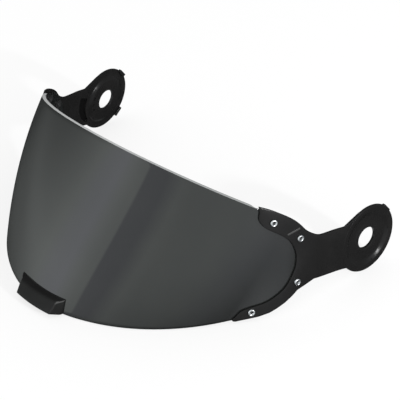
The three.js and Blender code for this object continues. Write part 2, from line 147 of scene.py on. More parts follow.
def sheet_normal(along, height, step=NORMAL_STEP):
    """The direction straight out of the lens at a drawn point."""
    across = sheet_point(along + step, height) - sheet_point(along - step, height)
    upwards = sheet_point(along, height + step) - sheet_point(along, height - step)
    normal = np.cross(across, upwards)
    return normal / np.linalg.norm(normal, axis=-1, keepdims=True)


def stand_up(points):
    """From the drawing's millimetres to the standing visor's metres."""
    c, s = math.cos(STANDING_TILT), math.sin(STANDING_TILT)
    x, y, z = points[..., 0], points[..., 1], points[..., 2]
    return (np.stack([x, c * y + s * z, c * z - s * y], axis=-1) + PIVOT_PLACE) * MM


def read_points(piece):
    points = np.zeros(len(piece.data.vertices) * 3)
    piece.data.vertices.foreach_get("co", points)
    return points.reshape(-1, 3)


def write_points(piece, points):
    piece.data.vertices.foreach_set("co", points.ravel())
    piece.data.update()


def wrap(piece):
    """Bends a flat piece to the sheet and stands it up in its place."""
    along, height, out = read_points(piece).T
    bent = sheet_point(along, height) + sheet_normal(along, height) * out[:, None]
    write_points(piece, stand_up(bent))


# %% [markdown]
# ## Working like a modeller
#
# Operators act on whatever is selected, so each step first clears the selection and then
# takes the one piece it works on. These few helpers keep the later cells short.

# %% Helpers for pieces
SMOOTH_ANGLE = math.radians(32)
MERGE_DISTANCE = 0.002
FLAT_ANGLE = math.radians(0.5)
SORT_PLACE = (-171.3, 137.9, 61.7)


def only(piece):
    """Selects one piece and nothing else."""
    bpy.ops.object.select_all(action="DESELECT")
    piece.select_set(True)
    bpy.context.view_layer.objects.active = piece


def edit_all(piece):
    only(piece)
    bpy.ops.object.mode_set(mode="EDIT")
    bpy.ops.mesh.select_all(action="SELECT")


def leave_edit():
    bpy.ops.object.mode_set(mode="OBJECT")


def pick(piece, kind, chosen):
    """Selects some edges or faces of a piece and stays in Edit mode."""
    edit_all(piece)
    bpy.ops.mesh.select_mode(type=kind)
    bpy.ops.mesh.select_all(action="DESELECT")
    leave_edit()
    parts = piece.data.edges if kind == "EDGE" else piece.data.polygons
    for part, is_chosen in zip(parts, chosen):
        part.select = bool(is_chosen)
    bpy.ops.object.mode_set(mode="EDIT")


def tidy_normals(piece):
    """Merges doubled points, drops loose ones and turns all faces outwards."""
    edit_all(piece)
    bpy.ops.mesh.remove_doubles(threshold=MERGE_DISTANCE)
    bpy.ops.mesh.delete_loose()
    bpy.ops.mesh.select_all(action="SELECT")
    bpy.ops.mesh.normals_make_consistent(inside=False)
    leave_edit()


def apply_modifier(piece, kind, **settings):
    only(piece)
    modifier = piece.modifiers.new(kind.lower(), kind)
    for name, value in settings.items():
        setattr(modifier, name, value)
    bpy.ops.object.modifier_apply(modifier=modifier.name)


def boolean(piece, tool, operation):
    """Joins a tool to a piece or cuts it out, and deletes the tool."""
    apply_modifier(piece, "BOOLEAN", object=tool, operation=operation, solver="EXACT")
    bpy.data.objects.remove(tool)


def sort_mesh(piece):
    """Puts a cut mesh in a fixed order, because the boolean tool's own order varies by run."""
    cursor = bpy.context.scene.cursor
    cursor.location = SORT_PLACE
    edit_all(piece)
    bpy.ops.mesh.sort_elements(type="CURSOR_DISTANCE", elements={"VERT", "EDGE", "FACE"})
    leave_edit()
    cursor.location = (0, 0, 0)


def copy_piece(piece, name):
    """A copy with its own mesh."""
    twin = piece.copy()
    twin.data = piece.data.copy()
    twin.name = name
    bpy.context.scene.collection.objects.link(twin)
    return twin


def slice_rows(piece, axis, start, end, step):
    """Cuts across the whole piece at even steps, so it can bend smoothly."""
    direction = [0, 0, 0]
    direction[axis] = 1
    for place in np.arange(start, end, step):
        edit_all(piece)
        corner = [0, 0, 0]
        corner[axis] = place
        bpy.ops.mesh.bisect(plane_co=corner, plane_no=direction)
        leave_edit()


def finish_piece(piece, finish, node):
    only(piece)
    bpy.ops.object.shade_smooth_by_angle(angle=SMOOTH_ANGLE)
    if not piece.data.materials:
        piece.data.materials.append(finish)
    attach(piece, "root")
    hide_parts(node)
    print(piece.name, "faces:", len(piece.data.polygons))


# %% [markdown]
# ## Outlines
#
# The arm's outline was read off the photograph. Each point is kept as two shares: its
# distance forward of the pivot as a share of the fork's reach, and its height above the
# pivot as a share of the fork's drop. A smooth line through the points gives the upper
# edge, the window and the lens's lobe their gentle curves. The lower edge has enough points
# of its own.

# %% Outline points
UPPER_EDGE_SHARES = [
    (0.996, -0.115), (0.92, -0.1), (0.852, -0.094), (0.78, -0.091), (0.719, -0.094),
    (0.667, -0.105), (0.606, -0.124), (0.549, -0.128), (0.488, -0.119), (0.426, -0.081),
    (0.359, -0.034),
]
LOWER_EDGE_SHARES = [
    (0.078, -0.29), (0.148, -0.33), (0.242, -0.39), (0.342, -0.447), (0.379, -0.502),
    (0.428, -0.574), (0.443, -0.63), (0.47, -0.704), (0.505, -0.774), (0.532, -0.821),
    (0.584, -0.883), (0.64, -0.935), (0.7, -0.989), (0.718, -0.996),
]
WINDOW_SHARES = [
    (0.731, -0.99), (0.721, -0.951), (0.712, -0.9), (0.668, -0.842), (0.604, -0.773),
    (0.56, -0.697), (0.528, -0.605), (0.522, -0.523), (0.532, -0.431), (0.547, -0.387),
    (0.576, -0.331), (0.637, -0.274), (0.702, -0.247), (0.783, -0.24), (0.876, -0.241),
    (0.928, -0.225), (0.958, -0.198), (0.972, -0.156),
]
LOBE_TOP_SHARES = [
    (0.719, -0.113), (0.626, -0.144), (0.534, -0.184), (0.472, -0.242), (0.431, -0.327),
    (0.417, -0.412),
]
LOBE_BOTTOM_SHARES = [
    (0.678, -0.958), (0.657, -0.925), (0.616, -0.886), (0.575, -0.843), (0.529, -0.785),
    (0.486, -0.708), (0.448, -0.617), (0.421, -0.521), (0.417, -0.436),
]
RIVET_SHARES = [(0.855, -0.177), (0.621, -0.199), (0.469, -0.515), (0.644, -0.869)]
RIB_END_SHARES = [(0.722, -0.217), (0.66, -0.131)]


def arm_places(shares):
    """Turns shares into millimetres forward of the pivot and above it."""
    return [(-forward * FORK_REACH, up * FORK_DROP) for forward, up in shares]


def smooth_line(points, steps):
    """A curve through all the points, with a few more points between each two."""
    line = np.array([points[0], *points, points[-1]], float)
    places = []
    for before, start, end, after in zip(line, line[1:], line[2:], line[3:]):
        square = 2 * before - 5 * start + 4 * end - after
        cube = 3 * start - before - 3 * end + after
        for t in np.arange(steps) / steps:
            places.append((2 * start + (end - before) * t + square * t**2 + cube * t**3) / 2)
    return [tuple(place) for place in places] + [points[-1]]


# %% [markdown]
# ## The lens
#
# The real lens is a tinted polycarbonate sheet about two millimetres thick. Mirror-like
# surfaces show every uneven face, so the lens isn't cut from an outline. It starts as a
# regular grid whose rows follow the lower and upper edges, which keeps the reflections
# calm. A Solidify modifier gives the thickness and a Bevel rounds the rim. The upper edge
# is slanted, with the inner face a little higher, and its pale line is light painted onto
# the rim faces. The slant fades out where the fork begins, and the painted pale rim ends
# there.

# %% Lens edges
LENS_THICKNESS = 2.2
LENS_TOP_DROP = 15
LENS_TOP_RISE = 5.6
LENS_BOTTOM_DROP = 128
LENS_BOTTOM_RISE = 44.9
LENS_EDGE_SLOPE = 0.85
EDGE_SLOPE_FADE = 5
LENS_EDGE_ROUND = 0.5
LENS_EDGE_ANGLE = math.radians(60)
RIM_LEANS = (-0.01, 0.6)
RIM_OVERLAP = 1
LENS_COLUMNS = 96
LOBE_COLUMNS = 22
LENS_ROWS = 40
LINE_STEPS = 12

lobe_top = np.array(smooth_line(arm_places(LOBE_TOP_SHARES), LINE_STEPS))
lobe_bottom = np.array(smooth_line(arm_places(LOBE_BOTTOM_SHARES), LINE_STEPS))
lobe_top_start = pivot_along + lobe_top[0, 0]
lobe_bottom_start = pivot_along + lobe_bottom[0, 0]
lobe_end = pivot_along + lobe_top[-1, 0]


def lens_top(reach):
    """Height of the lens's upper edge at a distance along the wrap."""
    share = reach / lobe_top_start
    last_rise = lobe_top[0, 1] + LENS_TOP_DROP - LENS_TOP_RISE
    front = last_rise * share**4 + LENS_TOP_RISE * share**2 - LENS_TOP_DROP
    lobe = np.interp(reach - pivot_along, lobe_top[:, 0], lobe_top[:, 1])
    return np.where(reach < lobe_top_start, front, lobe)


def lens_bottom(reach):
    """Height of the lens's lower edge at a distance along the wrap."""
    share = reach / lobe_bottom_start
    last_rise = lobe_bottom[0, 1] + LENS_BOTTOM_DROP - LENS_BOTTOM_RISE
    front = last_rise * share**4 + LENS_BOTTOM_RISE * share**2 - LENS_BOTTOM_DROP
    lobe = np.interp(reach - pivot_along, lobe_bottom[:, 0], lobe_bottom[:, 1])
    return np.where(reach < lobe_bottom_start, front, lobe)


# %% Lens shell, drawn flat
half_columns = list(np.linspace(0, lobe_top_start, LENS_COLUMNS + 1))
for turn in (np.arange(LOBE_COLUMNS) + 1) / (LOBE_COLUMNS + 0.5) * math.pi / 2:
    half_columns.append(lobe_top_start + (lobe_end - lobe_top_start) * math.sin(turn))
columns = np.array([-place for place in half_columns[:0:-1]] + half_columns)

bpy.ops.object.select_all(action="DESELECT")
bpy.ops.mesh.primitive_grid_add(x_subdivisions=len(columns) - 1, y_subdivisions=LENS_ROWS, size=1)
lens = bpy.context.object
lens.name = "lens_shell"
grid = read_points(lens)
along = columns[np.rint((grid[:, 0] + 0.5) * (len(columns) - 1)).astype(int)]
low, high = lens_bottom(abs(along)), lens_top(abs(along))
write_points(lens, np.stack([along, low + (high - low) * (grid[:, 1] + 0.5), 0 * along], axis=-1))
apply_modifier(lens, "SOLIDIFY", thickness=LENS_THICKNESS, offset=-1)
apply_modifier(lens, "BEVEL", width=LENS_EDGE_ROUND, segments=2, angle_limit=LENS_EDGE_ANGLE)
print("lens columns:", len(columns) - 1, "rows:", LENS_ROWS, "faces:", len(lens.data.polygons))

# %% Lens bent to shape
along, height, out = read_points(lens).T
reach = abs(along)
fork_start = pivot_along - FORK_REACH
slope = LENS_EDGE_SLOPE * (1 - smooth_step(reach, fork_start - EDGE_SLOPE_FADE, fork_start))
near_top = np.clip(1 - (lens_top(reach) - height) / (2 * LENS_THICKNESS), 0, 1)
height = height + slope * near_top * -out / LENS_THICKNESS
write_points(lens, np.stack([along, height, out], axis=-1))
# Faces of the rim, which later get the pale grey painted light
rim_faces = []
for face in lens.data.polygons:
    leans_out = RIM_LEANS[0] < face.normal.z < RIM_LEANS[1]
    if leans_out and abs(face.center.x) < fork_start + RIM_OVERLAP:
        rim_faces.append(face.index)
wrap(lens)
print("lens faces on the rim:", len(rim_faces))

# %% [markdown]
# ## The side arms
#
# Each arm is one moulding: a fork that clasps the end of the lens, a neck and a round hub.
# The fork and neck are a flat outline with thickness. A filled curve gives that block, and
# its two outlines are then bevelled round. The hub is round, so its section is drawn once
# and spun. The two are joined, small features are added and cut, and the flat arm is sliced
# into narrow strips so that it can bend without showing facets.

# %% Arm sizes
FIT_GAP = 0.3
SEAT_GAP = 0.1
ARM_THICKNESS = 1.7
ARM_EDGE_ROUND = 0.6
ARM_INNER_ROUND = 0.25
RIB_WIDTH = 1.4
RIB_HEIGHT = 0.45
HUB_RADIUS = 24
HUB_SET_BACK = 0.3
HUB_INSET = 0.5
HUB_INSET_START = 49.5
HUB_INSET_END = 38
FORK_THICKNESS_SHARE = 0.7
FORK_THINNING_START = 44
FORK_THINNING_END = 62
HUB_OVERLAP = 1.4
HUB_STEPS = 128
ROUND_SEGMENTS = 3
PLATE_ROUND = 0.15
SLICE_STEP = 2.5

arm_inner = SEAT_GAP
arm_outer = FIT_GAP + ARM_THICKNESS


# %% Helpers that draw a flat plate and a spun ring
def draw_plate(name, outline, low, high, low_round=PLATE_ROUND, high_round=PLATE_ROUND):
    """A filled flat curve, made a mesh and rounded at its lower and upper outlines."""
    curve = bpy.data.curves.new(name, "CURVE")
    curve.dimensions = "2D"
    curve.fill_mode = "BOTH"
    curve.extrude = (high - low) / 2
    line = curve.splines.new("POLY")
    line.points.add(len(outline) - 1)
    for point, (x, y) in zip(line.points, outline):
        point.co = (x, y, 0, 1)
    line.use_cyclic_u = True
    piece = bpy.data.objects.new(name, curve)
    bpy.context.scene.collection.objects.link(piece)
    only(piece)
    bpy.ops.object.convert(target="MESH")
    piece = bpy.context.object
    piece.data.transform(Matrix.Translation((0, 0, (low + high) / 2)))
    tidy_normals(piece)
    edit_all(piece)
    bpy.ops.mesh.dissolve_limited(angle_limit=FLAT_ANGLE)
    leave_edit()
    for level, width in ((low, low_round), (high, high_round)):
        on_level = abs(read_points(piece)[:, 2] - level) < MERGE_DISTANCE
        pick(piece, "EDGE", [on_level[list(edge.vertices)].all() for edge in piece.data.edges])
        bpy.ops.mesh.bevel(offset=width, segments=ROUND_SEGMENTS, clamp_overlap=False)
        leave_edit()
    return piece


def spin_section(name, section, centre, steps=HUB_STEPS):
    """A ring or disc spun from a closed section of (radius, out) points."""
    bpy.ops.object.select_all(action="DESELECT")
    bpy.ops.mesh.primitive_circle_add(vertices=len(section), radius=1, fill_type="NOTHING")
    piece = bpy.context.object
    piece.name = name
    for vertex, (radius, out) in zip(piece.data.vertices, section):
        vertex.co = (centre[0] + radius, centre[1], out)
    edit_all(piece)
    bpy.ops.mesh.spin(steps=steps, angle=math.tau, center=(*centre, 0), axis=(0, 0, 1))
    leave_edit()
    tidy_normals(piece)
    return piece


# %% Fork and neck
SHOULDER_SHARES = (-1.146, 0.042)
HEEL_FORWARD_SHARE = 0.24
UPPER_EDGE_STEPS = 4
WINDOW_STEPS = 2
NECK_ARC_POINTS = 28


def hub_point(radius, turn):
    """A place round the hub, with the angle counted from the backward direction."""
    return HUB_SET_BACK + radius * math.cos(turn), radius * math.sin(turn)


rim_centre = (HUB_SET_BACK, 0)
shoulder = tuple(share * HUB_RADIUS for share in SHOULDER_SHARES)
toward = Vector((shoulder[0] - rim_centre[0], shoulder[1] - rim_centre[1]))
shoulder_angle = math.atan2(toward.y, toward.x) % math.tau
tangent_angle = shoulder_angle - math.acos(HUB_RADIUS / toward.length)
heel_angle = math.pi + math.acos(HEEL_FORWARD_SHARE)
neck_turns = np.linspace(tangent_angle, heel_angle, NECK_ARC_POINTS)
outline = smooth_line(arm_places(UPPER_EDGE_SHARES) + [shoulder], UPPER_EDGE_STEPS)
outline.append(hub_point(HUB_RADIUS, tangent_angle))
outline += [hub_point(HUB_RADIUS - HUB_OVERLAP, turn) for turn in neck_turns]
outline.append(hub_point(HUB_RADIUS, heel_angle))
outline += arm_places(LOWER_EDGE_SHARES)
outline += smooth_line(arm_places(WINDOW_SHARES), WINDOW_STEPS)
arm_rounds = (ARM_INNER_ROUND, ARM_EDGE_ROUND)
arm = draw_plate("left_arm_moulding", outline, arm_inner, arm_outer, *arm_rounds)
meeting = [round(math.degrees(angle)) for angle in (tangent_angle, heel_angle)]
print("the neck meets the hub between these angles:", meeting)

# %% Hub
HUB_SECTION = [
    (7.55, -1.15), (7.55, 0.55), (7.8, 0.8), (10.3, 0.8), (10.7, 0.62), (12.2, 0.4),
    (15.6, 0.22), (16.9, 0.3), (17.6, 0.62), (19.3, 1.78), (19.7, 1.97), (20.2, 2.03), (22.1, 2.03),
    (22.6, 2.08), (23, 2.12), (23.4, 2.02), (23.75, 1.72), (23.95, 1.3), (24, 0.9), (24, 0.6),
    (23.87, 0.38), (23.55, 0.3), (18.9, 0.3), (18.5, 0.2), (18.35, 0.05), (18.2, -0.1),
    (16.3, -1.25), (16.1, -1.35), (15.8, -1.4), (7.8, -1.4),
]
hub = spin_section("hub", HUB_SECTION, rim_centre)
boolean(arm, hub, "UNION")
print("arm faces with the hub joined on:", len(arm.data.polygons))

# %% Rib beside the second rivet
RIB_ROOT = 1
RIB_ROUND_SHARE = 0.95
rib_start, rib_end = [Vector(place) for place in arm_places(RIB_END_SHARES)]
rib_run = rib_end - rib_start
side_step = rib_run.normalized().orthogonal() * RIB_WIDTH / 2
rib_outline = [rib_start - side_step, rib_end - side_step]
rib_outline += [rib_end + side_step, rib_start + side_step]
rib_levels = (arm_outer - RIB_ROOT, arm_outer + RIB_HEIGHT)
rib = draw_plate("rib", rib_outline, *rib_levels, high_round=RIB_HEIGHT * RIB_ROUND_SHARE)
boolean(arm, rib, "UNION")
print("rib length in mm:", round(rib_run.length, 1))

# %% [markdown]
# ### Inner side of the hub
#
# The far arm shows the hub's inner side: a curved slot along the front, three small
# dimples in the boss and two catches on the rim. Simple solids cut out the slot and the
# dimples. The catches are small rounded blocks that are joined on. All of it is done while
# the arm is flat, where a place is just a radius and an angle round the hub.

# %% Slot, dimples and catches
GROOVE_INNER_RADIUS = 20.9
GROOVE_WIDE_RADIUS = 29.1
GROOVE_NARROW_RADIUS = 23.3
GROOVE_DEPTH = 1.3
GROOVE_ANGLES = (-13, -68)
GROOVE_STEPS = 28
DIMPLE_ANGLES = (-13, -34, -53)
DIMPLE_CIRCLE_RADIUS = 14.2
DIMPLE_RADIUS = 1.15
DIMPLE_SECTION = [(0, -2), (1.2, -2), (1, -1.25), (0.8, -0.7), (0, -0.6)]
DIMPLE_STEPS = 24
CATCH_ANGLES = (102.5, 192)
CATCH_LENGTH = 7.6
CATCH_THICKNESS = 2.3
CATCH_HEIGHT = 1.6
CATCH_PROUD = 0.6
CATCH_ROUND = 0.35
CUT_OVERRUN = 1


def forward_place(radius, degrees):
    """A place round the hub, with the angle counted up from the forward direction."""
    turn = math.pi - math.radians(degrees)
    return radius * math.cos(turn), radius * math.sin(turn)


slot_angles = np.linspace(*GROOVE_ANGLES, GROOVE_STEPS)
slot_outline = [forward_place(GROOVE_INNER_RADIUS, angle) for angle in slot_angles]
for share, angle in zip(np.linspace(1, 0, GROOVE_STEPS), slot_angles[::-1]):
    radius = GROOVE_WIDE_RADIUS - (GROOVE_WIDE_RADIUS - GROOVE_NARROW_RADIUS) * share**2
    slot_outline.append(forward_place(radius, angle))
slot = draw_plate("slot", slot_outline, arm_inner - CUT_OVERRUN, FIT_GAP + GROOVE_DEPTH)
boolean(arm, slot, "DIFFERENCE")
dimple_section = [(DIMPLE_RADIUS * share, out) for share, out in DIMPLE_SECTION]
for angle in DIMPLE_ANGLES:
    centre = forward_place(DIMPLE_CIRCLE_RADIUS, angle)
    dimple = spin_section("dimple", dimple_section, centre, DIMPLE_STEPS)
    boolean(arm, dimple, "DIFFERENCE")
for angle in CATCH_ANGLES:
    bpy.ops.object.select_all(action="DESELECT")
    bpy.ops.mesh.primitive_cube_add(size=1)
    catch = bpy.context.object
    catch.scale = (CATCH_THICKNESS, CATCH_LENGTH, CATCH_HEIGHT + ARM_THICKNESS / 2)
    radius = HUB_RADIUS + CATCH_PROUD - CATCH_THICKNESS / 2
    centre = forward_place(radius, angle)
    middle = FIT_GAP + ARM_THICKNESS / 4 - CATCH_HEIGHT / 2
    catch.location = (centre[0] + HUB_SET_BACK, centre[1], middle)
    catch.rotation_euler.z = math.pi - math.radians(angle)
    bpy.ops.object.transform_apply()
    apply_modifier(catch, "BEVEL", width=CATCH_ROUND, segments=ROUND_SEGMENTS)
    boolean(arm, catch, "UNION")
print("arm faces before slicing:", len(arm.data.polygons))

# %% [markdown]
# ### Bending the arm
#
# The slices run across the arm every few millimetres, both ways. The fork then thins down,
# the neck steps inwards behind the lens, and the whole arm takes the curve of the sheet.
# The other arm is the mirror image, made before the bend from a flat copy. The faces of
# the slot's floor and of the rib's top are noted here, while they are still flat, because
# the slot's floor gets painted shade and the rib's top a painted highlight.

# %% Slice the flat arm
FLOOR_TOLERANCE = 0.02
sort_mesh(arm)
edit_all(arm)
bpy.ops.mesh.dissolve_limited(angle_limit=FLAT_ANGLE)
leave_edit()
slice_rows(arm, 0, -FORK_REACH, HUB_RADIUS + HUB_SET_BACK, SLICE_STEP)
slice_rows(arm, 1, -FORK_DROP, HUB_RADIUS, 2 * SLICE_STEP)
tidy_normals(arm)
groove_floor = FIT_GAP + GROOVE_DEPTH
rib_level = arm_outer + RIB_HEIGHT / 2
# The slot's floor faces get painted shade, the rib's top faces a painted highlight
groove_faces, rib_faces = [], []
for face in arm.data.polygons:
    if abs(face.center.z - groove_floor) < FLOOR_TOLERANCE:
        groove_faces.append(face.index)
    if face.center.z > rib_level:
        rib_faces.append(face.index)
print("faces on the slot's floor:", len(groove_faces), "and on the rib:", len(rib_faces))

# %% Thin, step inwards and wrap both arms
flat = read_points(arm)
distance = np.hypot(flat[:, 0], flat[:, 1])
fork_share = smooth_step(distance, FORK_THINNING_START, FORK_THINNING_END)
thinning = (1 - FORK_THICKNESS_SHARE) * fork_share
flat[:, 2] -= thinning * np.maximum(flat[:, 2] - arm_inner, 0)
flat[:, 2] -= HUB_INSET * (1 - smooth_step(distance, HUB_INSET_END, HUB_INSET_START))
flat[:, 0] += pivot_along
write_points(arm, flat)
far_arm = copy_piece(arm, "right_arm_moulding")
far_arm.data.transform(Matrix.Scale(-1, 4, (1, 0, 0)))
far_arm.data.flip_normals()
wrap(arm)
wrap(far_arm)
print("faces of each arm:", len(arm.data.polygons))

# %% [markdown]
# ## Rivets and washers
#
# Tubular rivets hold the arms. The outer end is a rolled ring round a bore, and the inner
# end is clenched over a washer. A spun section gives each one, and it is made once. Every
# copy has its own mesh and stands square to the curved sheet at its own place. The bore
# and the clenched end are noted: the bore is painted black as painted shade, and the
# clenched end is coated black.

# %% Rivet and washer, each modelled once
BORE_RADIUS = 0.8
RIVET_STEPS = 40
RIVET_SECTION = [
    (0, 1.75), (0.62, 2.0), (0.88, 2.2), (0.98, 2.45), (1.1, 2.7), (1.3, 2.88), (1.58, 2.96),
    (1.9, 2.9), (2.18, 2.7), (2.38, 2.4), (2.42, 2.1), (2.42, 1.5), (1.4, 1.46), (1.4, -3.04),
    (2.15, -3.06), (2.3, -3.25), (2.2, -3.55), (1.95, -3.8), (1.6, -3.92), (1.2, -3.85),
    (0.9, -3.6), (0.75, -3.25), (0, -3.1),
]
WASHER_SECTION = [
    (1.55, -2.32), (1.65, -2.24), (3.4, -2.24), (3.65, -2.33), (3.7, -2.5), (3.7, -2.75),
    (3.6, -2.95), (3.35, -3.02), (1.65, -3.02), (1.55, -2.92),
]
rivet_model = spin_section("rivet", RIVET_SECTION, (0, 0), RIVET_STEPS)
washer_model = spin_section("washer", WASHER_SECTION, (0, 0), RIVET_STEPS)
bore_shade_and_tail_faces = []
for face in rivet_model.data.polygons:
    # The bore's black is painted shade; the clenched end is coated black
    is_bore = face.center.z > 0 and face.center.xy.length < BORE_RADIUS
    if is_bore or face.center.z < -LENS_THICKNESS:
        bore_shade_and_tail_faces.append(face.index)
print("rivet faces:", len(rivet_model.data.polygons), "of them dark:", len(bore_shade_and_tail_faces))


# %% Seat a copy at every rivet's place
def seat(piece, side, place):
    """Stands a small part square to the sheet at a rivet's place."""
    along = np.array([side * (pivot_along + place[0])])
    height = np.array([place[1]])
    origin, out = sheet_point(along, height)[0], sheet_normal(along, height)[0]
    across = np.cross((0, 0, 1), out)
    across /= np.linalg.norm(across)
    upwards = np.cross(out, across)
    points = read_points(piece)
    placed = origin + points[:, :1] * across + points[:, 1:2] * upwards + points[:, 2:] * out
    write_points(piece, stand_up(placed))


rivets, washers = {}, {}
for side_name, side in (("left", 1), ("right", -1)):
    for number, place in enumerate(arm_places(RIVET_SHARES), start=1):
        node = f"{side_name}_rivet_{number}"
        rivets[node] = copy_piece(rivet_model, f"{node}_rolled")
        seat(rivets[node], side, place)
        node = f"{side_name}_washer_{number}"
        washers[node] = copy_piece(washer_model, f"{node}_pressed")
        seat(washers[node], side, place)
bpy.data.objects.remove(rivet_model)
bpy.data.objects.remove(washer_model)
print("rivets:", len(rivets), "washers:", len(washers))

# %% [markdown]
# ## The lift tab
#
# The tab is a chamfered block with a pocket for its bonding pad. Its back lies along the
# lens's lower edge. Its front is narrower and slopes outwards to a thick lower lip that a
# gloved thumb can push. It is drawn flat as a slab, the front face is extruded, and its
# corners are then pulled in at the ends and at the top. The edges round the raised front
# are bevelled wide, as the mould leaves them, and the back's edges only a little. The
# ridges between the front and its two ends are noted, because they get a grey painted
# highlight.

# %% Tab sizes
TAB_HALF_WIDTH = 26.2
TAB_END_FLARE = 1
TAB_END_DROOP = 0.5
TAB_FRONT_HALF_WIDTHS = (19.6, 20.8)
TAB_HEIGHT = 9.9
TAB_OVERHANG = 0.4
TAB_THICKNESS = 7.4
TAB_TOP_THICKNESS = 4
TAB_EDGE_THICKNESS = 0.7
TAB_END_THICKNESS = 1.2
TAB_ROUND = 0.9
TAB_ROUND_SEGMENTS = 4
TAB_BACK_ROUND = 0.15
TAB_BACK_ANGLE = math.radians(40)
TAB_BEVEL = 2.4
TAB_BASE = 0.12
FIRST_RISE = 2
RISE_MARGIN = 0.5
RIDGE_SIDEWAYS = (0.15, 0.48)
RIDGE_OUTWARDS = 0.3
STRIP_WIDTH = 1.5
STRIP_HEIGHT = 3
PAD_MARGIN = 1.4
PAD_OUTS = (0.2, 0.85)
PAD_ROUND = 0.2
POCKET_GAP = 0.15
POCKET_BACK = -1


# %% Helpers for slabs
def add_slab(name, half_width, low, high, inner, outer):
    """A plain block, drawn flat, that the next steps shape."""
    bpy.ops.object.select_all(action="DESELECT")
    bpy.ops.mesh.primitive_cube_add(size=2)
    slab = bpy.context.object
    slab.name = name
    side, upper, front = read_points(slab).T
    middle, rise = (low + high) / 2, (high - low) / 2
    out = np.where(front > 0, outer, inner)
    write_points(slab, np.stack([side * half_width, middle + upper * rise, out], axis=-1))
    return slab


def bend_to_lens(slab, half_width, low, high, droop=0):
    """Slices a slab into strips that follow the lens's lower edge, and lists its ridges."""
    slice_rows(slab, 0, -half_width, half_width, STRIP_WIDTH)
    slice_rows(slab, 1, low, high, STRIP_HEIGHT)
    tidy_normals(slab)
    outermost = max(slab.data.polygons, key=lambda face: face.center.z)
    if outermost.normal.z < 0:
        slab.data.flip_normals()
    ridges = []
    for face in slab.data.polygons:
        is_turned = RIDGE_SIDEWAYS[0] < abs(face.normal.x) < RIDGE_SIDEWAYS[1]
        if is_turned and face.normal.z > RIDGE_OUTWARDS:
            ridges.append(face.index)
    points = read_points(slab)
    droop_share = (points[:, 0] / half_width) ** 4 * (1 - points[:, 1] / high)
    points[:, 1] += lens_bottom(abs(points[:, 0])) - droop * droop_share
    write_points(slab, points)
    wrap(slab)
    return ridges


# %% Tab block
tab_outs = (TAB_BASE, TAB_EDGE_THICKNESS)
tab = add_slab("lift_tab_moulding", TAB_HALF_WIDTH, FIT_GAP, TAB_HEIGHT, *tab_outs)
pick(tab, "FACE", [face.normal.z > 0.5 for face in tab.data.polygons])
bpy.ops.mesh.extrude_region_move(TRANSFORM_OT_translate={"value": (0, 0, FIRST_RISE)})
leave_edit()
points = read_points(tab)
side = np.sign(points[:, 0])
is_upper = points[:, 1] > TAB_HEIGHT / 2
is_front = points[:, 2] > TAB_EDGE_THICKNESS + RISE_MARGIN
points[is_front & is_upper, 1:] = (TAB_HEIGHT - TAB_BEVEL, TAB_TOP_THICKNESS)
points[is_front & ~is_upper, 1:] = (FIT_GAP - TAB_OVERHANG, TAB_THICKNESS)
lower_width, upper_width = TAB_FRONT_HALF_WIDTHS
points[is_front, 0] = (side * np.where(is_upper, upper_width, lower_width))[is_front]
is_end_foot = ~is_front & ~is_upper
points[is_end_foot, 0] = side[is_end_foot] * (TAB_HALF_WIDTH + TAB_END_FLARE)
is_foot_front = is_end_foot & (points[:, 2] > TAB_BASE)
points[is_foot_front, 1:] = (FIT_GAP - TAB_OVERHANG, TAB_END_THICKNESS)
write_points(tab, points)
print("tab block corners:", len(points))

# %% Tab edges, pocket and bend
raised = read_points(tab)[:, 2] > TAB_EDGE_THICKNESS + RISE_MARGIN
pick(tab, "EDGE", [raised[list(edge.vertices)].any() for edge in tab.data.edges])
bpy.ops.mesh.bevel(offset=TAB_ROUND, segments=TAB_ROUND_SEGMENTS, clamp_overlap=False)
leave_edit()
apply_modifier(tab, "BEVEL", width=TAB_BACK_ROUND, segments=2, angle_limit=TAB_BACK_ANGLE)
pad_half_width = TAB_HALF_WIDTH - PAD_MARGIN
pocket_rise = (PAD_MARGIN - POCKET_GAP, TAB_HEIGHT - PAD_MARGIN + POCKET_GAP)
pocket_outs = (POCKET_BACK, PAD_OUTS[1] + POCKET_GAP)
pocket = add_slab("pocket", pad_half_width + POCKET_GAP, *pocket_rise, *pocket_outs)
boolean(tab, pocket, "DIFFERENCE")
sort_mesh(tab)
tab_reach = TAB_HALF_WIDTH + TAB_END_FLARE
# The ridge faces later get a grey painted highlight
ridge_faces = bend_to_lens(tab, tab_reach, 0, TAB_HEIGHT, TAB_END_DROOP)
print("tab ridge faces:", len(ridge_faces))

# %% Bonding pad behind the tab
pad_top = TAB_HEIGHT - PAD_MARGIN
pad = add_slab("bonding_pad_foam", pad_half_width, PAD_MARGIN, pad_top, *PAD_OUTS)
apply_modifier(pad, "BEVEL", width=PAD_ROUND, segments=2)
bend_to_lens(pad, pad_half_width, PAD_MARGIN, pad_top)
print("bonding pad faces:", len(pad.data.polygons))

# %% [markdown]
# ## Materials
#
# Shader maths reads best as sums, so a small class wraps a socket and turns Python's
# operators into Math nodes. One method adds every other node, with its settings first.
# Every pattern reads Object coordinates, so it stays on its piece, and its scale counts
# features in a metre.

# %% Shader helper
class Wire:
    """A socket that can be added, multiplied and so on, with the nodes made as needed."""

    def __init__(self, finish, socket):
        self.finish, self.socket = finish, socket

    def maths(self, operation, first, second):
        return self.finish.add("ShaderNodeMath", {"operation": operation}, {0: first, 1: second})

    def __add__(self, other):
        return self.maths("ADD", self, other)

    def __sub__(self, other):
        return self.maths("SUBTRACT", self, other)

    def __rsub__(self, other):
        return self.maths("SUBTRACT", other, self)

    def __mul__(self, other):
        return self.maths("MULTIPLY", self, other)

    __radd__ = __add__
    __rmul__ = __mul__


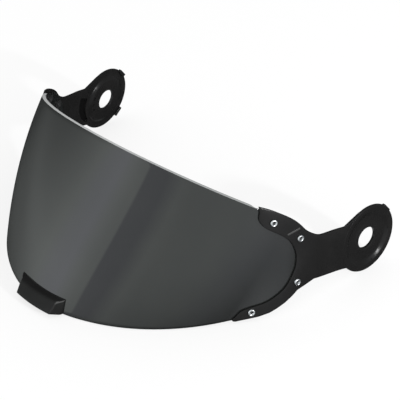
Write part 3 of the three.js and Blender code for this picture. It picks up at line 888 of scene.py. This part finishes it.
class Finish:
    """The nodes of one material, or of the world."""

    def __init__(self, owner, shader="Principled BSDF", **constants):
        self.owner = bpy.data.materials.new(owner) if isinstance(owner, str) else owner
        self.owner.use_nodes = True
        self.nodes = self.owner.node_tree.nodes
        self.shader = self.nodes[shader]
        for socket, value in constants.items():
            self.shader.inputs[socket.replace("_", " ")].default_value = value
        print("new finish:", self.owner.name)

    def add(self, kind, settings=None, inputs=None, output=0):
        node = self.nodes.new(kind)
        for name, value in (settings or {}).items():
            if name == "stops":
                for position, _ in value[1:-1]:
                    node.color_ramp.elements.new(position)
                for element, (position, colour) in zip(node.color_ramp.elements, value):
                    element.position, element.color = position, (*colour, 1)
            else:
                setattr(node, name, value)
        for name, value in (inputs or {}).items():
            self.join(value, node.inputs[name])
        return Wire(self, node.outputs[output])

    def join(self, value, socket):
        if isinstance(value, Wire):
            self.owner.node_tree.links.new(value.socket, socket)
        else:
            socket.default_value = value

    def place(self):
        return self.add("ShaderNodeTexCoord", output="Object")

    def noise(self, scale, detail, roughness=0.5):
        inputs = {"Vector": self.place(), "Scale": scale, "Detail": detail, "Roughness": roughness}
        return self.add("ShaderNodeTexNoise", inputs=inputs)

    def mix(self, share, first, second):
        return self.add(
            "ShaderNodeMix",
            {"data_type": "RGBA"},
            {"Factor": share, 6: (*first, 1), 7: (*second, 1)},
            output=2,
        )

    def bump(self, height, distance, strength=1):
        inputs = {"Height": height, "Distance": distance, "Strength": strength}
        return self.add("ShaderNodeBump", inputs=inputs)

    def mask(self, value, low, high):
        """Rises gently from 0 to 1 while a noise or a position goes from low to high."""
        settings = {"interpolation_type": "SMOOTHSTEP"}
        inputs = {"Value": value, "From Min": low, "From Max": high}
        return self.add("ShaderNodeMapRange", settings, inputs)

    def set(self, socket, value):
        self.join(value, self.shader.inputs[socket])


# %% [markdown]
# ### Smoke lens
#
# The hard coated lens is dark all through and very smooth. It could be made see-through,
# but nothing shows through smoke this dark, so a dark glossy surface gives the same look
# more simply. What shows on it is mostly the room's reflection. A trace of haze keeps it
# from being a perfect mirror.

# %% Lens finish
POLYCARBONATE_IOR = 1.58
LENS_SMOKES = ((0.0115, 0.0125, 0.0125), (0.0145, 0.0155, 0.015))
smoke = Finish("smoke_lens", IOR=POLYCARBONATE_IOR)
haze = smoke.mask(smoke.noise(scale=28, detail=3), low=0.35, high=0.75)
smoke.set("Base Color", smoke.mix(haze, *LENS_SMOKES))
smoke.set("Roughness", 0.03 + haze * 0.025)

# %% [markdown]
# ### Lens rim
#
# The rim was routed and polished. Light that travels inside the sheet leaves there, and
# that light is painted into the rim's colour as a pale grey. Painted shade makes it darker
# towards the left arm. The faces of the upper and lower edges get this painted light, up
# to where the forks begin. A fine noise stands for the marks that the tool left, because
# they are too small to model.

# %% Rim finish with painted light
# Painted light: pale grey for the light that leaves the rim, the darker grey is painted shade
RIM_PAINTED_LIGHT_GREYS = ((0.62, 0.63, 0.63), (0.32, 0.33, 0.33))
rim = Finish("lens_rim", IOR=POLYCARBONATE_IOR)
saw_marks = rim.noise(scale=900, detail=2)
sideways = rim.add("ShaderNodeSeparateXYZ", inputs={0: rim.place()})
# Painted shade: the rim is painted darker towards the left arm
left_arm_painted_shade = rim.mask(sideways, low=-0.02, high=0.1)
rim.set("Base Color", rim.mix(0.5 * saw_marks + 0.75 * left_arm_painted_shade, *RIM_PAINTED_LIGHT_GREYS))
rim.set("Roughness", 0.3 + saw_marks * 0.15)
rim.set("Normal", rim.bump(saw_marks, distance=0.00003, strength=0.4))

# %% [markdown]
# ### Moulded black plastic
#
# The arms and the tab are black mouldings with a fine satin grain. The grain is a bump
# about a third of a millimetre across, which is enough because it never shows in the
# outline. Faint rubbing changes the gloss. The narrow top of the rib beside the second
# rivet gets a grey painted highlight, and the slot's floor in the hub gets near black
# painted shade and is rough and dull. The tab has a black of its own, and the ridges
# between its front and its two ends get a grey painted highlight, palest near the top.

# %% Arm finish
PLASTIC_IOR = 1.5
ARM_BLACKS = ((0.0105, 0.0104, 0.0104), (0.0135, 0.0133, 0.0133))
moulding = Finish("black_moulding", IOR=PLASTIC_IOR, Specular_IOR_Level=0.15)
grain = moulding.noise(scale=2600, detail=2, roughness=0.6)
rubbed = moulding.mask(moulding.noise(scale=45, detail=4), low=0.42, high=0.7)
moulding.set("Base Color", moulding.mix(rubbed, *ARM_BLACKS))
moulding.set("Roughness", 0.22 + grain * 0.08 - rubbed * 0.04)
moulding.set("Normal", moulding.bump(grain, distance=0.00003, strength=0.2))

# %% Rib painted highlight finish
# Painted highlight: the grey stands for light catching the rib's narrow top
RIB_PAINTED_HIGHLIGHT_GREYS = ((0.035, 0.035, 0.035), (0.06, 0.06, 0.06))
rib_highlight = Finish("rib_painted_highlight", IOR=PLASTIC_IOR, Specular_IOR_Level=0.15)
highlight_mottle = rib_highlight.noise(scale=1500, detail=3)
rib_highlight.set("Base Color", rib_highlight.mix(highlight_mottle, *RIB_PAINTED_HIGHLIGHT_GREYS))
rib_highlight.set("Roughness", 0.35 + highlight_mottle * 0.15)

# %% Groove painted shade finish
# Painted shade: near black stands for the shade inside the deep slot
GROOVE_PAINTED_SHADE_BLACKS = ((0.003, 0.003, 0.003), (0.005, 0.005, 0.005))
groove_painted_shade = Finish("groove_painted_shade", IOR=PLASTIC_IOR, Specular_IOR_Level=0.05)
shade_mottle = groove_painted_shade.noise(scale=1200, detail=3)
groove_painted_shade.set("Base Color", groove_painted_shade.mix(shade_mottle, *GROOVE_PAINTED_SHADE_BLACKS))
groove_painted_shade.set("Roughness", 0.7 + shade_mottle * 0.2)

# %% Tab finish
TAB_BLACKS = ((0.0095, 0.0095, 0.0095), (0.012, 0.012, 0.012))
tab_black = Finish("tab_moulding", IOR=PLASTIC_IOR, Specular_IOR_Level=0.12)
tab_grain = tab_black.noise(scale=2200, detail=2, roughness=0.6)
thumbed = tab_black.mask(tab_black.noise(scale=90, detail=3), low=0.4, high=0.65)
tab_black.set("Base Color", tab_black.mix(thumbed, *TAB_BLACKS))
tab_black.set("Roughness", 0.27 + tab_grain * 0.1 - thumbed * 0.05)
tab_black.set("Normal", tab_black.bump(tab_grain, distance=0.00005, strength=0.4))

# %% Tab ridge painted highlight finish
# Painted highlight: grey on the tab's ridges, palest near the top, stands for light catching them
RIDGE_PAINTED_HIGHLIGHT_GREYS = ((0.021, 0.021, 0.021), (0.075, 0.075, 0.075))
ridge_highlight = Finish("tab_ridge_painted_highlight", IOR=PLASTIC_IOR, Specular_IOR_Level=0.12)
level = ridge_highlight.add("ShaderNodeSeparateXYZ", inputs={0: ridge_highlight.place()}, output="Z")
highlight_near_top = ridge_highlight.mask(level, low=0.0085, high=0.0098)
ridge_highlight.set("Base Color", ridge_highlight.mix(highlight_near_top, *RIDGE_PAINTED_HIGHLIGHT_GREYS))
ridge_highlight.set("Roughness", 0.35 + highlight_near_top * 0.1)

# %% [markdown]
# ### Metal and foam
#
# The rivet heads are bright turned metal. The washers and the rivets' clenched ends are
# coated black, and the same black is painted into the rivets' bores as painted shade. The
# foam pad behind the tab has small open cells, which a Voronoi texture gives in one node.

# %% Bright metal finish
RIVET_METALS = ((0.5, 0.51, 0.52), (0.66, 0.67, 0.68))
bright = Finish("rivet_metal", Metallic=1)
turned = bright.noise(scale=700, detail=3)
bright.set("Base Color", bright.mix(turned, *RIVET_METALS))
bright.set("Roughness", 0.16 + turned * 0.16)
bright.set("Normal", bright.bump(turned, distance=0.00002, strength=0.3))

# %% Coated metal finish and bore painted shade
# Coated black of the washers and clenched ends, and painted shade in the rivets' bores
COATED_AND_BORE_SHADE_BLACKS = ((0.014, 0.014, 0.0145), (0.03, 0.03, 0.031))
coated_and_bore_shade = Finish("black_coated_steel_and_bore_shade", IOR=PLASTIC_IOR, Specular_IOR_Level=0.3)
pressed = coated_and_bore_shade.noise(scale=500, detail=3)
coated_and_bore_shade.set("Base Color", coated_and_bore_shade.mix(pressed, *COATED_AND_BORE_SHADE_BLACKS))
coated_and_bore_shade.set("Roughness", 0.35 + pressed * 0.2)
coated_and_bore_shade.set("Normal", coated_and_bore_shade.bump(pressed, distance=0.00002, strength=0.3))

# %% Foam finish
FOAM_BLACKS = ((0.008, 0.008, 0.008), (0.02, 0.02, 0.02))
foam = Finish("bonding_foam", IOR=1.45, Specular_IOR_Level=0.2)
cells = foam.add("ShaderNodeTexVoronoi", inputs={"Vector": foam.place(), "Scale": 2400})
foam.set("Base Color", foam.mix(cells, *FOAM_BLACKS))
foam.set("Roughness", 0.85 + cells * 0.1)
foam.set("Normal", foam.bump(cells, distance=0.0001, strength=0.5))


# %% [markdown]
# ### Dressing the pieces
#
# A piece has one finish in its first slot. The faces that were noted while it was made get
# another. Each piece then rides on the one body and replaces the CAD node it stands for.

# %% Dress the pieces
def dress(piece, finish, *patches):
    """Gives a piece its finish, and other finishes to some of its faces."""
    piece.data.materials.append(finish.owner)
    for slot, (patch, chosen) in enumerate(patches, start=1):
        piece.data.materials.append(patch.owner)
        for index in chosen:
            piece.data.polygons[index].material_index = slot


dress(lens, smoke, (rim, rim_faces))
# The slot's floor gets painted shade and the rib's top a painted highlight
dress(arm, moulding, (groove_painted_shade, groove_faces), (rib_highlight, rib_faces))
dress(far_arm, moulding, (groove_painted_shade, groove_faces), (rib_highlight, rib_faces))
dress(tab, tab_black, (ridge_highlight, ridge_faces))
finish_piece(lens, smoke.owner, "lens")
finish_piece(arm, moulding.owner, "left_arm")
finish_piece(far_arm, moulding.owner, "right_arm")
finish_piece(tab, tab_black.owner, "lift_tab")
finish_piece(pad, foam.owner, "lift_tab_pad")
for node, rivet in rivets.items():
    dress(rivet, bright, (coated_and_bore_shade, bore_shade_and_tail_faces))
    finish_piece(rivet, bright.owner, node)
for node, washer in washers.items():
    finish_piece(washer, coated_and_bore_shade.owner, node)

# %% [markdown]
# ## Light and floor
#
# The visor was photographed on pure white with soft light all round. The world is white to
# the camera and in reflections, and a little lower as a light on the pieces. The floor is
# near white paper that glows for the camera, keeps a faint shadow and is left out of
# reflections.

# %% Floor
FLOOR_SIZE = 8
FLOOR_DROP = 0.0006
PAPER_WHITE = (0.97, 0.97, 0.97, 1)
PURE_WHITE = (1, 1, 1, 1)
GLOW_SHARE = 0.75

bpy.ops.object.select_all(action="DESELECT")
bpy.ops.mesh.primitive_plane_add(size=FLOOR_SIZE, location=(0, 0, -FLOOR_DROP))
floor = bpy.context.object
floor.name = "floor"
floor.visible_glossy = False
paper = Finish("floor_paper", Roughness=0.9, Specular_IOR_Level=0)
paper.set("Base Color", PAPER_WHITE)
glow = paper.add("ShaderNodeEmission", inputs={"Color": PURE_WHITE, "Strength": 1})
seen = paper.add("ShaderNodeLightPath", output="Is Camera Ray")
surface = Wire(paper, paper.shader.outputs[0])
blend = paper.add("ShaderNodeMixShader", inputs={0: seen * GLOW_SHARE, 1: surface, 2: glow})
paper.join(blend, paper.nodes["Material Output"].inputs["Surface"])
floor.data.materials.append(paper.owner)

# %% World
LIGHT_CUT = 0.1
world = bpy.data.worlds.new("white_room")
bpy.context.scene.world = world
room = Finish(world, "Background")
room.shader.inputs["Color"].default_value = PURE_WHITE
lights_a_piece = room.add("ShaderNodeLightPath", output="Is Diffuse Ray")
room.set("Strength", 1 - lights_a_piece * LIGHT_CUT)

# %% [markdown]
# ### The studio wall
#
# A lens this dark works as a mirror, so the room it stands in must be built too. A curved
# wall stands round the visor and only shows in reflections. Its levels run round it as a
# colour ramp over the angle, counted from straight ahead towards the left arm. It is
# brightest a little to the right arm's side, has one sharp edge where a lit panel ends,
# and is dark behind. The panel's edge leans, so the angle is shifted by the height. Below
# the visor the wall gets darker, most at the right arm's side, and its foot is lit again,
# which keeps the lens's lower edge from turning black.

# %% Studio wall
WALL_RADIUS = 1.5
WALL_HEIGHT = 12
WALL_SIDES = 128
PANEL_EDGE_DEGREES = 2.88
PANEL_LEAN = (24.08, -10.09)
LEAN_REACH = 2
WALL_START_DEGREES = -110
WALL_SWEEP_DEGREES = 240
GREEN_TINT = (0.945, 1, 0.975)
BLUE_TINT = (0.955, 0.985, 1.05)
WALL_LEVELS = [
    (-108, 0.05, 0), (-95, 0.14, 0), (-84, 0.34, 0), (-73, 0.55, 0), (-63, 0.8, 0), (-50, 1.15, 0),
    (-40, 1.48, 0), (-32, 1.62, 0.7), (-20, 1.75, 1), (-13, 1.64, 0.3), (-5, 1.42, 0), (0, 1.35, 0),
    (1.4, 0.84, 1), (14, 0.76, 1), (24, 1.06, 0), (32, 0.95, 0), (60, 0.95, 0), (84, 0.84, 0.8),
    (104, 0.66, 1), (114, 0.25, 0.5), (128, 0.12, 0.5),
]

bpy.ops.object.select_all(action="DESELECT")
wall_size = {"radius": WALL_RADIUS, "depth": WALL_HEIGHT}
bpy.ops.mesh.primitive_cylinder_add(vertices=WALL_SIDES, end_fill_type="NOTHING", **wall_size)
wall = bpy.context.object
wall.name = "studio_wall"
wall.visible_camera = wall.visible_diffuse = wall.visible_shadow = False
print("wall sides:", len(wall.data.polygons))

# %% Angle round the wall, past the panel's edge
panel = Finish("wall_panel")
place = panel.add("ShaderNodeSeparateXYZ", inputs={0: panel.place()})
across, deep, up = [Wire(panel, socket) for socket in place.socket.node.outputs]
angle = panel.add("ShaderNodeMath", {"operation": "ARCTAN2"}, {0: across, 1: 0 - deep})
turn = angle * math.degrees(1)
limits = {"Min": -LEAN_REACH, "Max": LEAN_REACH}
rise = panel.add("ShaderNodeClamp", inputs={"Value": up, **limits})
lean = rise * PANEL_LEAN[0] + rise * rise * PANEL_LEAN[1]
past_edge = turn - (lean + PANEL_EDGE_DEGREES)
share = (past_edge - WALL_START_DEGREES) * (1 / WALL_SWEEP_DEGREES)

# %% Light of the wall
LEAST_LIGHT = 0.3
MAIN_LIGHT = 1.7
FOOT_LIGHT = 1.2
RIGHT_SHADE = 0.3

stops = []
for place, level, blue in WALL_LEVELS:
    tint = [green + (cool - green) * blue for green, cool in zip(GREEN_TINT, BLUE_TINT)]
    light = [channel * level / 2 for channel in tint]
    stops.append(((place - WALL_START_DEGREES) / WALL_SWEEP_DEGREES, light))
colour = panel.add("ShaderNodeValToRGB", {"stops": stops}, {0: share})
right_side = panel.mask(0 - turn, low=35, high=85)
right_shade = right_side * panel.mask(0 - up, low=0.1, high=0.5)
foot_light = panel.mask(0 - up, low=1.3, high=2.1) * FOOT_LIGHT
main_light = panel.mask(up, low=-1.2, high=-0.05) * MAIN_LIGHT + LEAST_LIGHT
strength = (main_light + foot_light) * (1 - right_shade * RIGHT_SHADE)
glowing = panel.add("ShaderNodeEmission", inputs={"Color": colour, "Strength": strength})
panel.join(glowing, panel.nodes["Material Output"].inputs["Surface"])
wall.data.materials.append(panel.owner)
print("wall levels in the ramp:", len(stops))

# %% [markdown]
# ### Side lamp
#
# One small lamp beside the left arm draws thin glints on the hub's curved walls and on the
# rolled rivets.

# %% Lamp
LAMP_PLACE = (1.35, 0.02, 0.48)
LAMP_SIZE = 0.08
LAMP_WATTS = 11

bpy.ops.object.light_add(type="AREA", location=LAMP_PLACE)
glint_lamp = bpy.context.object
glint_lamp.name = "glint_lamp"
glint_lamp.data.size = LAMP_SIZE
glint_lamp.data.energy = LAMP_WATTS
glint_lamp.rotation_euler = glint_lamp.location.to_track_quat("Z", "Y").to_euler()
print("lamp watts:", glint_lamp.data.energy)

# %% Colour view
bpy.context.scene.view_settings.view_transform = "Standard"
